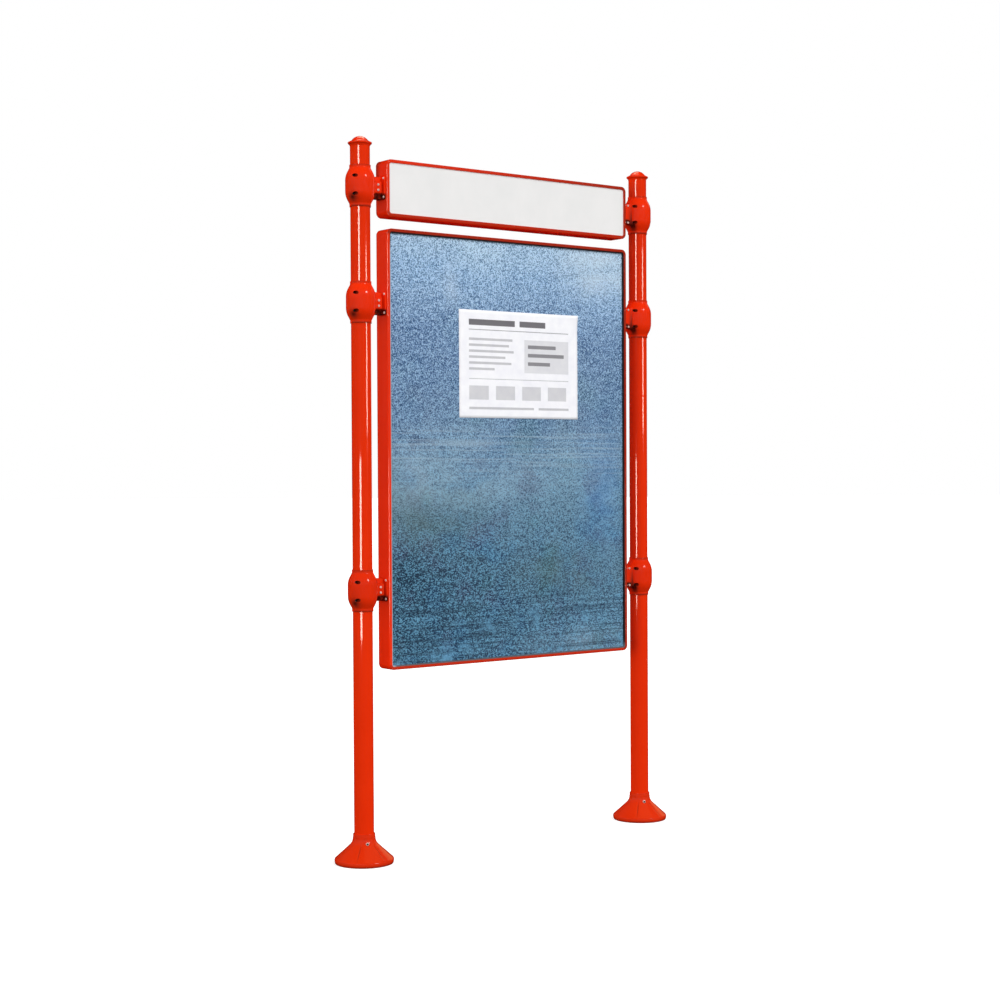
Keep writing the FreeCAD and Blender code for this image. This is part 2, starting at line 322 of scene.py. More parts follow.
room = bpy.data.worlds.new("room")
scene.world = room
room.use_nodes = True
room.cycles_visibility.glossy = False
room.node_tree.nodes.clear()
air = Network(room.node_tree, "Generated")
rise = air.span(air.along("Z"), -1.0, 1.0)
left_shade, right_shade = (
    air.ramp(rise, [(height, (grey, grey, grey, 1)) for height, grey in zip(DOME_HEIGHTS, greys)])
    for greys in (LEFT_GREYS, RIGHT_GREYS)
)
dome_shade = air.blend(air.span(air.along("X"), -0.6, 0.6), left_shade, right_shade)
soft_room = air.add("Background", {"Color": dome_shade, "Strength": DOME_STRENGTH}).outputs["Background"]
white_wall = air.add("Background", {"Color": (1, 1, 1, 1)}).outputs["Background"]
seen_directly = air.add("LightPath").outputs["Is Camera Ray"]
either = air.add("MixShader", {"Fac": seen_directly, 1: soft_room, 2: white_wall})
air.add("OutputWorld", {"Surface": either.outputs["Shader"]})
scene.view_settings.view_transform = "Standard"

# %% [markdown]
# ### Lamps
# A key lamp in front, a little to the right and half way up, gives short shadows and one bright dot on
# every barrel. Three upright strips draw the thin streaks down the posts. Broad dim panels put a sheen on
# skirts, shoulders and the domes of the caps, and light that bounces off the ground fills the trays'
# undersides. Each panel lights only the pieces that need it.

# %% Lamps
def aim(lamp, place, target):
    """Puts a lamp at a place with its beam towards a target and its upper edge up."""
    back = unit(np.subtract(place, target))
    side = unit(np.cross([0, 0, 1], back))
    stand(lamp, side, np.cross(back, side), back, place)


KEY_TARGET = (0, 0, 1.3)
for name, place, energy, spread, for_gloss in (
    ("key_lamp", (2.2, -6.7, 8.3), 0.9, 5.0, False),
    ("key_dot", (2.0, -6.7, 5.2), 0.42, 11.0, True),
):
    key = bpy.data.objects.new(name, bpy.data.lights.new(name, "SUN"))
    key.data.energy = energy
    key.data.angle = math.radians(spread)
    key.visible_diffuse = not for_gloss
    key.visible_glossy = for_gloss
    aim(key, place, KEY_TARGET)

WARM, ORANGE, AMBER = (1.0, 0.88, 0.78), (1.0, 0.75, 0.55), (1.0, 0.6, 0.25)


def panel_lamp(name, place, faces, width, height, radiance, group, tint=WARM, matt=False):
    """A panel of warm light that faces a height on the middle line and lights only the gloss, or only the
    matt part, of one group of pieces: its power is pi times its area times its radiance."""
    lamp = bpy.data.objects.new(name, bpy.data.lights.new(name, "AREA"))
    lamp.data.shape = "RECTANGLE"
    lamp.data.size = width
    lamp.data.size_y = height
    lamp.data.energy = math.pi * width * height * radiance
    lamp.data.color = tint
    aim(lamp, place, (0, 0, faces))
    lamp.visible_camera = False
    lamp.visible_diffuse = matt
    lamp.visible_glossy = not matt
    lamp.light_linking.receiver_collection = LIT[group]


panel_lamp("upper_left_streak", (-2.80, -1.75, 3.095), 3.095, 0.74, 1.31, 20, "posts_and_trays")
panel_lamp("right_streak", (4.06, -6.90, 2.59), 2.59, 1.60, 1.52, 17, "posts")
panel_lamp("lower_left_streak", (-1.85, -0.99, 1.14), 1.14, 0.50, 0.84, 20, "posts_and_trays")
panel_lamp("shoulder_sheen", (7.0, 2.4, 6.65), 6.65, 5.0, 3.7, 0.5, "clamps")
panel_lamp("cap_glow", (0.9, 1.4, 6.4), 2.75, 2.6, 1.8, 6, "caps", ORANGE)
panel_lamp("ground_bounce", (0.0, -1.2, 0.2), 2.4, 6.0, 3.0, 0.55, "trays", matt=True)
panel_lamp("skirt_sheen", (7.0, 2.4, 3.5), 3.5, 5.0, 4.0, 0.78, "skirts", AMBER)
panel_lamp("skirt_glow", (1.4, -0.3, 6.0), 0.0, 5.0, 5.0, 0.32, "skirts", AMBER)

# %% [markdown]
# ## Finishes
# Noise in Object coordinates is fixed to the piece: a coarse noise for uneven colour, a fine one for the
# ripple of sprayed paint. A picture of paint could be wrapped round the piece instead, but it would blur
# close up and need unwrapping.

# %% Finish
class Finish(Network):
    """A material whose Principled shader is fed by a network."""

    def __init__(self, name, **settings):
        self.material = bpy.data.materials.new(name)
        self.material.use_nodes = True
        super().__init__(self.material.node_tree, "Object")
        self.shader = self.tree.nodes["Principled BSDF"]
        for socket, value in settings.items():
            self.shader.inputs[socket.replace("_", " ")].default_value = value

    def stretched(self, x, y, z):
        """Object coordinates scaled along each axis, to draw a pattern out."""
        return self.add("Mapping", {"Vector": self.place, "Scale": (x, y, z)}).outputs["Vector"]

    def noise(self, scale, detail=3.0, place=None, rough=0.55):
        """Cloudy noise with so many clouds to the metre."""
        inputs = {"Vector": place or self.place, "Scale": scale, "Detail": detail, "Roughness": rough}
        return self.add("TexNoise", inputs).outputs["Fac"]

    def mottle(self, scale, detail=3.0, low=0.0, high=1.0):
        """Cloudy noise spread over a whole range."""
        return self.span(self.noise(scale, detail), 0.3, 0.7, low, high)

    def mark(self, name, **options):
        """A number that a mesh or a piece carries under a name."""
        return self.add("Attribute", attribute_name=name, **options).outputs["Fac"]

    def wear(self, socket, value):
        """Links a pattern to one of the shader's sockets."""
        self.tree.links.new(value, self.shader.inputs[socket])

    def ripple(self, height, strength, depth):
        """A height pattern felt by light as small slopes, depth in metres."""
        bump = self.add("Bump", {"Height": height, "Strength": strength, "Distance": depth})
        self.wear("Normal", bump.outputs["Normal"])


def paint(red, green, blue):
    """A colour as it reads on a screen, 0 to 255, turned into the linear numbers that a shader uses."""
    share = np.array([red, green, blue]) / 255
    return (*np.where(share <= 0.04045, share / 12.92, ((share + 0.055) / 1.055) ** 2.4), 1.0)


# %% [markdown]
# ### Red enamel
# The posts, castings and trays share one red, baked on as powder. On a drawn tube the coat lies smooth
# and mirrors lamps as crisp streaks; on a casting it follows the grain of the sand; near the ground the
# skirts are darker, rougher and dustier, and the lowest clamps carry painted shade; on folded sheet it is
# flatter. One function makes them all with other numbers.

# %% Red enamel
def red_enamel(name, bright, deep, gloss, grain, grain_size, dust):
    """Two reds clouded together, a fine ripple of grain_size millimetres, pale dust, painted shade on the
    lowest clamps and brackets, a painted shadow under each lug found from a piece's own level, and
    painted shade and dirt where an attribute of the mesh asks for it."""
    finish = Finish(name, IOR=1.5)
    clouds = finish.span(finish.noise(7.0, 5.0), 0.32, 0.68)
    red = finish.blend(clouds, paint(*bright), paint(*deep))
    flecks = finish.span(finish.noise(160.0, 4.0), 0.58, 0.80, 0.0, dust)
    red = finish.blend(flecks, red, paint(226, 120, 92))
    # painted shade: the clamps and brackets of the lowest level are darker
    lug_level = finish.mark("lug_level", attribute_type="OBJECT")
    low_clamp_shade = finish.times(finish.span(lug_level, 0.5, 0.9), finish.span(lug_level, 1.5, 1.1, 0.0, 0.16))
    red = finish.blend(low_clamp_shade, red, paint(120, 24, 8))
    # painted shadow that each lug casts below itself, on the barrel, the bracket and the tray's side
    below = finish.join("SUBTRACT", lug_level, finish.along("Z"))
    painted_shadow = finish.times(
        finish.span(below, 0.018, 0.027),
        finish.span(below, 0.060, 0.046),
        finish.span(finish.join("ABSOLUTE", finish.along("X"), 0.0), 0.658, 0.648),
        finish.span(finish.noise(90.0, 4.0), 0.25, 0.55, 0.55, 0.95),
    )
    # painted shade and dirt from the mesh's attribute, joined with the painted shadow under the lugs
    shade_and_dirt_share = finish.join("MAXIMUM", painted_shadow, finish.mark("shade_and_dirt"))
    shade_and_dirt = finish.blend(finish.span(shade_and_dirt_share, 0.65, 0.95), paint(74, 34, 24), paint(34, 8, 6))
    finish.wear("Base Color", finish.blend(shade_and_dirt_share, red, shade_and_dirt))
    finish.wear("Roughness", finish.mottle(45.0, 3.0, 0.9 * gloss, 1.1 * gloss))
    finish.ripple(finish.noise(1000.0 / grain_size, 2.0), grain, 0.0004)
    return finish.material


post_red = red_enamel("post_red", (232, 49, 10), (226, 46, 8), 0.07, 0.001, 6.0, 0.01)
cast_red = red_enamel("cast_red", (241, 48, 7), (233, 45, 5), 0.13, 0.05, 3.0, 0.02)
skirt_red = red_enamel("skirt_red", (219, 47, 8), (211, 43, 6), 0.15, 0.06, 3.0, 0.03)
tray_red = red_enamel("tray_red", (249, 52, 9), (243, 48, 7), 0.13, 0.03, 4.0, 0.02)
print("four red enamels")

# %% [markdown]
# ### White enamel, zinc and plating
# The header is satin white with a little rain dust. The display sheet is galvanised steel: zinc freezes
# in crystals that catch the light one by one, which reads as a blue-grey speckle. Its colour is a painted
# reflection of sky and scenery, paler towards the sky and darker towards the ground; patches, a band of
# haze, and dark streaks and pale wisps at the foot are painted reflections too. Screws have zinc plating,
# and the bright pinkish white of most heads is a painted reflection.

# %% White enamel
white = Finish("header_white")
rain = white.span(white.noise(3.0, 6.0, white.stretched(3.0, 1.0, 2.0)), 0.35, 0.75)
white.wear("Base Color", white.blend(rain, paint(240, 239, 238), paint(234, 234, 233)))
white.wear("Roughness", white.mottle(60.0, 3.0, 0.38, 0.48))
white.ripple(white.noise(300.0, 2.0), 0.04, 0.0003)

# %% Galvanised sheet: painted reflection of the sky
zinc = Finish("galvanised_sheet", Metallic=0.10)
aside, height = zinc.along("X"), zinc.along("Z")
drift = zinc.join("ADD", height, zinc.mottle(2.4, 4.0, -0.10, 0.10))
# painted reflection of sky and scenery, paler upwards and darker towards the ground
painted_sky_reflection = zinc.ramp(
    zinc.span(drift, 0.74, 2.44),
    [
        (0.00, paint(50, 100, 129)),
        (0.19, paint(40, 80, 104)),
        (0.42, paint(128, 166, 190)),
        (0.58, paint(120, 154, 190)),
        (0.76, paint(110, 148, 194)),
        (0.90, paint(160, 198, 236)),
        (1.00, paint(200, 230, 254)),
    ],
)
# paler and tinted patches of the painted reflection, lower down
low_right = zinc.times(zinc.span(aside, -0.5, 0.6, 0.0, 0.62), zinc.span(height, 1.5, 1.1))
painted_sky_reflection = zinc.blend(low_right, painted_sky_reflection, paint(130, 172, 200))
lower_down = zinc.span(height, 2.2, 1.4, 0.1, 1.0)
for tint, scale, low, high in (
    (paint(40, 112, 162), 5.0, 0.52, 0.64),
    (paint(66, 124, 126), 4.0, 0.46, 0.34),
    (paint(92, 96, 132), 6.0, 0.55, 0.67),
):
    hue = zinc.span(zinc.noise(scale, 2.0), low, high, 0.0, 0.40)
    painted_sky_reflection = zinc.blend(zinc.times(hue, lower_down), painted_sky_reflection, tint)

# %% Galvanised sheet: crystals
crystals = zinc.add("TexVoronoi", {"Vector": zinc.place, "Scale": 230.0, "Randomness": 1.0})
crystal_tone = zinc.add("SeparateColor", {"Color": crystals.outputs["Color"]}).outputs["Red"]
drawn_out = zinc.noise(235.0, 2.0, zinc.stretched(0.7, 1.0, 1.05))
grain = zinc.blend(zinc.span(height, 1.75, 1.25, 0.0, 0.85), zinc.noise(235.0, 2.0), drawn_out)
grain = zinc.times(zinc.span(grain, 0.3, 0.7, -1.6, 1.6), zinc.span(height, 1.35, 0.95, 1.0, 1.7))
speckle = zinc.join("ADD", zinc.span(crystal_tone, 0, 1, -0.45, 0.45), grain)
dark_share = zinc.span(speckle, 0.15, -0.85, 0.0, 0.95)
light_share = zinc.span(speckle, 0.15, 1.1, 0.0, 0.75)
# painted reflection in the pale crystals, paler upwards
reflected_speckle = zinc.blend(zinc.span(height, 1.3, 2.2), paint(112, 176, 212), paint(200, 228, 250))
sheet_colour = zinc.blend(dark_share, painted_sky_reflection, (0.14, 0.24, 0.36, 1), "MULTIPLY")
sheet_colour = zinc.blend(light_share, sheet_colour, reflected_speckle)

# %% Galvanised sheet: painted reflected patches, haze, streaks and wisps
SHEET_FACE = -0.028
reflected_green, reflected_haze, sky, reflected_glare = paint(84, 104, 92), paint(176, 200, 216), paint(92, 146, 206), paint(216, 234, 248)
clouded = zinc.span(zinc.noise(7.0, 4.0, zinc.stretched(1.0, 1.0, 1.6)), 0.34, 0.62, 0.25, 1.0)
# patches of painted reflection
for x, z, wide, tall, share, tint in (
    (-0.42, 1.33, 0.36, 0.17, 0.46, reflected_green),
    (0.33, 1.09, 0.44, 0.16, 0.46, reflected_green),
    (-0.40, 1.47, 0.60, 0.15, 0.32, reflected_haze),
    (0.40, 0.79, 0.44, 0.09, 0.22, reflected_haze),
    (0.47, 1.40, 0.16, 0.44, 0.40, sky),
    (0.46, 2.33, 0.30, 0.15, 0.60, reflected_glare),
    (-0.30, 2.24, 0.06, 0.12, 0.30, reflected_glare),
):
    away = zinc.place
    for operation, operand in (("SUBTRACT", (x, SHEET_FACE, z)), ("MULTIPLY", (1 / wide, 1.0, 1 / tall))):
        away = zinc.add("VectorMath", {0: away, 1: operand}, operation=operation).outputs["Vector"]
    far = zinc.add("VectorMath", {0: away}, operation="LENGTH").outputs["Value"]
    reflected_patch = zinc.times(zinc.span(far, 1.0, 0.1, 0.0, share), clouded)
    sheet_colour = zinc.blend(reflected_patch, sheet_colour, tint)
# haze, streaks and wisps are painted reflections too
haze = zinc.span(zinc.noise(3.0, 2.0, zinc.stretched(0.5, 1.0, 42.0)), 0.50, 0.62, 0.0, 0.38)
haze = zinc.times(haze, zinc.span(height, 1.42, 1.54), zinc.span(height, 1.70, 1.64))
streaks = zinc.span(zinc.noise(3.0, 2.0, zinc.stretched(0.5, 1.0, 40.0)), 0.46, 0.62, 0.0, 0.56)
streaks = zinc.times(streaks, zinc.span(height, 1.08, 0.92, 0.1, 1.0))
wisps = zinc.span(zinc.noise(9.0, 5.0, zinc.stretched(1.3, 1.0, 1.5), 0.7), 0.54, 0.68, 0.0, 0.75)
wisps = zinc.times(wisps, zinc.span(height, 1.05, 0.82))
for share, tint in ((haze, reflected_haze), (streaks, paint(20, 44, 66)), (wisps, paint(104, 166, 204))):
    sheet_colour = zinc.blend(share, sheet_colour, tint)
zinc.wear("Base Color", sheet_colour)
zinc.wear("Roughness", zinc.span(speckle, -1.0, 1.0, 0.60, 0.45))
zinc.ripple(crystal_tone, 0.10, 0.0003)

# %% Strip round the sheet: painted shadow and painted light
edge = Finish("recess_shadow_and_light", Roughness=0.6)
height = edge.along("Z")
# painted light on the left run and, more weakly, at the foot; painted shadow on the rest of the strip
left_run = edge.times(edge.span(edge.along("X"), -0.570, -0.585), edge.span(height, 2.40, 2.35))
painted_lit_share = edge.join("MAXIMUM", left_run, edge.span(height, 0.775, 0.760, 0.0, 0.28))
grit = edge.mottle(260.0)
painted_shadow_tone = edge.blend(grit, paint(40, 22, 24), paint(22, 12, 16))
painted_light_tone = edge.blend(grit, paint(178, 180, 186), paint(146, 150, 160))
edge.wear("Base Color", edge.blend(painted_lit_share, painted_shadow_tone, painted_light_tone))


# %% Plated steel
def plated_steel(name, metallic, bright, dull):
    """Zinc plating clouded between two tones; painted shade darkens it where little light comes in, as an
    attribute of the mesh says.
    """
    plate = Finish(name, Metallic=metallic)
    clean = plate.blend(plate.mottle(90.0, 4.0), paint(*bright), paint(*dull))
    plate.wear("Base Color", plate.blend(plate.mark("shade_and_dirt"), clean, paint(34, 26, 26)))
    plate.wear("Roughness", plate.mottle(220.0, 2.0, 0.22, 0.36))
    plate.ripple(plate.noise(900.0, 2.0), 0.08, 0.0002)
    return plate.material


# the bright pinkish white of these heads is a painted reflection of the lamps
plated_with_painted_glint = plated_steel("plated_steel", 0.25, (252, 228, 220), (236, 204, 194))
dull_plated = plated_steel("dull_plated_steel", 0.9, (150, 146, 146), (112, 110, 112))
grey_plated = plated_steel("grey_plated_steel", 0.3, (186, 188, 192), (156, 159, 164))
print("white, zinc and plating are mixed")

# %% [markdown]
# ## Posts
# Each post is a drawn steel tube. The imported tube's flat facets would break a streak of light into steps,
# so it is turned again with many more sides: a closed profile, the tube's wall, is carried once round the
# post's axis. A row of points close to either end keeps the shading straight. Beside the trays the red
# carries painted shade, the shade that the trays throw on the posts.

# %% Posts
POST_X = 708.05
POST_RADIUS = 38.05
POST_WALL = 3.2
POST_END = 6.0
SIDES = {"left": -1, "right": 1}
SHADE_FOOT, SHADE_FULL, SHADE_TOP = 700.0, 760.0, 2690.0
SHADE_SHARE, SHADE_SPREAD = 0.36, 46.0

for side, way in SIDES.items():
    low, high = (corner.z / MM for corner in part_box(f"{side}_post"))
    inner = POST_RADIUS - POST_WALL
    rows = (low, low + POST_END, SHADE_FOOT, SHADE_FULL, SHADE_TOP, high - POST_END)
    outside = [(POST_RADIUS, z) for z in rows]
    wall = rounded([(inner, low), *outside, (POST_RADIUS, high, 0.8), (inner, high)], closed=True)
    tube = weld(f"{side}_post_tube", [ring(turned(wall, FULL_TURN, way * POST_X))])
    # painted shade on the side of each post that faces the trays, the shade that the trays throw
    x, y, z = corners_of(tube).T
    from_tray = np.degrees(np.arctan2(np.abs(y), way * (way * POST_X - x)))
    beside_tray = held((z - SHADE_FOOT) / (SHADE_FULL - SHADE_FOOT)) * held((high - POST_END - z) / 40)
    paint_shade_and_dirt(tube, SHADE_SHARE * beside_tray * np.exp(-((from_tray / SHADE_SPREAD) ** 2)))
    piece_from(tube, post_red, stands_for=[f"{side}_post"], lit=["posts", "posts_and_trays"])

# %% [markdown]
# ## Caps
# A cast cap closes each tube: a dome, a sloping shoulder, a rim that overhangs the tube, a cove under
# the rim and a spigot inside. It is turned as well, from the axis back to the axis.

# %% Caps
POST_TOP = 2742.0
DOME_RADIUS, DOME_HEIGHT, DOME_FOOT = 32.05, 17.0, 21.5
RIM_RADIUS = 46.05
SPIGOT_RADIUS, SPIGOT_BORE, SPIGOT_END = 34.55, 30.55, -39.0

ball = (DOME_RADIUS**2 + DOME_HEIGHT**2) / (2 * DOME_HEIGHT)
tilt = np.linspace(0, math.asin(DOME_RADIUS / ball), 16)
dome = np.stack([ball * np.sin(tilt), DOME_FOOT + DOME_HEIGHT - ball * (1 - np.cos(tilt))], axis=-1)
shoulder = [(dome[-2, 0], dome[-2, 1]), (DOME_RADIUS + 0.6, 20.6, 3.0)]
rim = [(RIM_RADIUS, 14.2, 1.9), (RIM_RADIUS, 9.6, 1.9), (40.4, 5.0, 6.0), (POST_RADIUS + 0.15, 0.05)]
spigot = [(SPIGOT_RADIUS, 0.05), (SPIGOT_RADIUS, SPIGOT_END, 1.0), (SPIGOT_BORE, SPIGOT_END, 1.0)]
hollow = [(SPIGOT_BORE, -0.4), (0.0, -0.4)]
cap_profile = np.vstack([dome[:-2], rounded(shoulder + rim + spigot + hollow)])
for side, way in SIDES.items():
    cap = shell(turned(cap_profile, FULL_TURN, way * POST_X, POST_TOP), ring_rows=True)
    mesh = weld(f"{side}_cap", [cap])
    piece_from(mesh, cast_red, stands_for=[f"{side}_post_cap"], lit=["caps"])

# %% [markdown]
# ## Cutting and joining castings
# Screw pockets are holes in a casting, and a lug grows out of a barrel. The Boolean modifier cuts and
# joins closed meshes; its result is read back as a plain mesh that can be copied and mirrored.

# %% Castings
def casting(base, joined=(), cut=()):
    """A mesh made of a base shell, with other shells joined to it and others cut out of it."""
    blank = placed(weld("blank", [base]))
    tools = []
    for operation, shells in (("UNION", joined), ("DIFFERENCE", cut)):
        for tool_shell in shells:
            tool = placed(weld("tool", [tool_shell]))
            step = blank.modifiers.new("step", "BOOLEAN")
            step.operation, step.solver, step.object = operation, "EXACT", tool
            tools.append(tool)
    bpy.context.view_layer.update()
    mesh = bpy.data.meshes.new_from_object(blank.evaluated_get(bpy.context.evaluated_depsgraph_get()))
    for used in [blank, *tools]:
        bpy.data.objects.remove(used)
    return mesh


def copied(mesh, name, scale=(1, 1, 1), move=(0, 0, 0)):
    """A copy of a mesh, mirrored by a scale of -1 and moved by millimetres, its faces turned outwards."""
    copy = mesh.copy()
    copy.name = name
    places = (corners_of(copy) * np.array(scale) + np.array(move)) * MM
    copy.vertices.foreach_set("co", places.astype(np.float32).ravel())
    if np.prod(scale) < 0:
        copy.flip_normals()
    copy.update()
    return copy


def spokes(axis, start, turn):
    """Directions round an axis, one row for each turn from the one that is square to axis and start."""
    first = unit(np.cross(axis, start))
    return np.cos(turn) * first + np.sin(turn) * np.cross(axis, first)


OBLIQUE = (0.31, 0.52, 0.79)
POCKET_REACH = 60.0


def rod(centre, axis, radius, length=POCKET_REACH):
    """A plain round tool: a circle carried from a centre along an axis."""
    axis = np.array(axis, float)
    circle = np.array(centre, float) + radius * spokes(axis, OBLIQUE, full_turn(40)[:, None])
    return bar(np.stack([circle, circle + axis * length]))


# %% [markdown]
# ## Foot skirts
# A cast cone hides the base plate and its anchor bolts, and slides up the post once its set screw is
# slack. It is turned from a hollow profile, and then six shallow creases are pressed in: near each
# crease's bearing the cone is pushed inwards by a rounded notch. The creases and the band under the rim
# carry painted shade.

# %% Skirt profile and creases
SKIRT_RADIUS, SKIRT_HEIGHT, SKIRT_EDGE = 114.0, 114.0, 18.0
NECK_RADIUS, NECK_FOOT, BORE_RADIUS = 42.55, 83.0, 38.55
SCREW_BEARING = -108.0
SCREW_REACH, SCREW_RISE, SCREW_POCKET = 46.55, 80.0, 7.0
CREASES = np.radians(SCREW_BEARING + 30.0 + 60.0 * np.arange(6))
CREASE_DEPTH, CREASE_REACH = 2.0, 4.5
SLOPE_OUT, SLOPE_UP = 0.673, 0.74

rim = [(108.6, 0.0, 0.6), (111.6, 0.0, 1.8), (SKIRT_RADIUS, 9.0, 6.0), (SKIRT_RADIUS, SKIRT_EDGE, 9.0)]
slope = [(80.0, 48.9), (60.0, 67.1), (NECK_RADIUS + 1.0, NECK_FOOT - 1.0, 38.0)]
neck = [(NECK_RADIUS + 1.0, 101.0, 0.8), (NECK_RADIUS, 100.2, 0.5), (NECK_RADIUS, SKIRT_HEIGHT, 1.6)]
hollow = [(BORE_RADIUS, SKIRT_HEIGHT), (BORE_RADIUS, 64.0), (55.2, 64.0), (109.0, 15.1)]
skirt_profile = rounded(rim + slope + neck + hollow, closed=True)
near_crease = np.linspace(-6, 6, 17)
between = np.linspace(-30, 30, 25)[1:-1]
spread = np.unique(np.concatenate([near_crease, between[np.abs(between) > 6.5], [30.0]]))
skirt_bearings = np.unique(np.round((CREASES[:, None] + np.radians(spread)).ravel() % (2 * np.pi), 6))


def off_crease(bearings):
    """The angle between each bearing and the crease nearest to it."""
    return np.abs((bearings[:, None] - CREASES + np.pi) % (2 * np.pi) - np.pi).min(axis=1)


def pressed(points, profile, bearings):
    """Pushes the cone in along its slope's normal near each crease: deepest at the middle, falling to
    nothing at the crease's reach, and fading out towards the rim and the neck."""
    radius, height = profile[:, 0], profile[:, 1]
    across_crease = held(1 - off_crease(bearings)[:, None] * radius / CREASE_REACH)
    outside = (height > SKIRT_EDGE - 3) & (height + 0.91 * radius > 115.0)
    along = held((radius - 46) / 8) * held((112 - radius) / 8) * outside
    depth = CREASE_DEPTH * across_crease**2 * (3 - 2 * across_crease) * along
    away = np.stack([np.cos(bearings), np.sin(bearings), np.zeros_like(bearings)], axis=-1)[:, None]
    normal = SLOPE_OUT * away + np.array([0, 0, SLOPE_UP])
    return points - depth[..., None] * normal


# %% Skirts
cone = pressed(turned(skirt_profile, skirt_bearings), skirt_profile, skirt_bearings)
screw_way = np.array([math.cos(math.radians(SCREW_BEARING)), math.sin(math.radians(SCREW_BEARING)), 0.0])
screw_seat = SCREW_REACH * screw_way + [0, 0, SCREW_RISE]
skirt_casting = casting(ring(cone), cut=[rod(screw_seat, screw_way, SCREW_POCKET)])

x, y, z = corners_of(skirt_casting).T
reach = np.hypot(x, y)
on_cone = held((reach - 46) / 14) * held((111 - reach) / 10)
# painted shade in the creases and under the rim
in_crease = held(1 - off_crease(np.arctan2(y, x)) * reach / 3.2) * on_cone
under_rim = held((9.0 - z) / 9.0) * (reach > 108)
paint_shade_and_dirt(skirt_casting, np.maximum(0.42 * in_crease, 0.75 * under_rim))
for side, way in SIDES.items():
    mesh = copied(skirt_casting, f"{side}_skirt", move=(way * POST_X, 0, 0))
    piece_from(mesh, skirt_red, f"{side}_skirt", [f"{side}_foot_skirt"], ["skirts"])

# %% [markdown]
# ## Clamps
# Two castings close round the post like a barrel, and each has a lug that grips the bracket's tab from
# its side. The half barrel is a keg-shaped profile carried half way round the post. The lug is a rounded
# section carried towards the board, which swells where it meets the barrel, as a casting's fillets do.
# Front halves also get the bolt pockets. A short lug faces a tall one: the short one is in front on the
# left, and the same pair is turned round on the right.

# %% Half barrel
CLAMP_TOP, CLAMP_NECK, CLAMP_SHOULDER = 80.0, 68.0, 38.0
CLAMP_BORE, COLLAR_RADIUS, BARREL_RADIUS = 38.25, 41.0, 57.0
SPLIT = 0.5
GROOVE_BEARING, GROOVE_DEPTH = -83.0, 0.7

collar = [(COLLAR_RADIUS, CLAMP_TOP, 1.0), (COLLAR_RADIUS, CLAMP_NECK, 7.0)]
upper = [*collar, (BARREL_RADIUS, CLAMP_SHOULDER, 70.0)]
lower = [(radius, -height, corner) for radius, height, corner in upper]
outline = [(CLAMP_BORE, -CLAMP_TOP), *lower, *upper[::-1], (CLAMP_BORE, CLAMP_TOP)]
keg = rounded(outline, closed=True, steps=10)


def half_barrel(groove_depth):
    """The keg's closed profile carried from one side of the split to the other: at each radius the
    bearing starts and stops where the half is half a millimetre from the split plane. A shallow groove,
    the mark of the mould, runs up the belly a little to the lug's side of the middle."""
    radius, height = keg[:, 0], keg[:, 1]
    lost = np.arcsin(SPLIT / radius)
    groove = (np.radians(GROOVE_BEARING) - np.pi) % (2 * np.pi) / np.pi
    steps = np.concatenate([np.linspace(0, 1, 73), groove + np.linspace(-0.012, 0.012, 9)])
    share = np.unique(np.round(steps, 6))[:, None]
    bearing = np.pi + lost + share * (np.pi - 2 * lost)
    off = np.abs(share - groove) * np.pi * BARREL_RADIUS
    radius = radius - groove_depth * held(1 - off / 1.6) * held((30 - np.abs(height)) / 4) * (radius > 50)
    return bar(np.stack([radius * np.cos(bearing), radius * np.sin(bearing), height + 0 * share], axis=-1))


# %% Lug
LUG_INSIDE, LUG_OUTSIDE, LUG_END = 5.0, 19.0, 87.0
LUG_EASE, LUG_FILLET, FILLET_START, FLARE_START = 2, 10, 60.4, 62
SHORT_LUG, TALL_LUG = (24.0, 14.0), (44.0, 8.0)


def swollen(size, radius, start, along):
    """A size that grows on an arc of this radius from a start back towards the barrel."""
    return size + radius - np.sqrt(np.maximum(radius**2 - np.clip(start - along, 0, 0.9 * radius) ** 2, 0))


def lug(half_height, flare):
    """A rounded section carried along x, thicker and taller near the barrel and eased at its end."""
    straight_end = LUG_END - LUG_EASE
    rounding = straight_end + LUG_EASE * np.sin(np.linspace(0.3, np.pi / 2, 5))
    along = np.concatenate([np.linspace(42, 60, 19), np.linspace(63, straight_end, 6), rounding])
    outside = swollen(LUG_OUTSIDE, LUG_FILLET, FILLET_START, along)
    tall = swollen(half_height, flare, FLARE_START, along)
    ease = LUG_EASE - LUG_EASE * np.cos(np.arcsin(held((along - straight_end) / LUG_EASE)))
    rows = []
    for x, reach, half, shrink in zip(along, outside, tall, ease):
        face, top = reach - shrink, half - shrink
        corners = [(-LUG_INSIDE, -top), (-face, -top, 6.0), (-face, top, 6.0), (-LUG_INSIDE, top)]
        section = rounded(corners, closed=True)
        rows.append(np.column_stack([np.full(len(section), x), section]))
    return bar(np.stack(rows))


# %% Clamp castings and their painted shade
BOLT_X, BOLT_RISE, BOLT_SEAT, POCKET_RADIUS = 43.8, 34.0, 14.0, 6.5
FORWARD = (0, -1, 0)
BOLT_SPOTS = [(x, -BOLT_SEAT, z) for x in (-BOLT_X, BOLT_X) for z in (-BOLT_RISE, BOLT_RISE)]

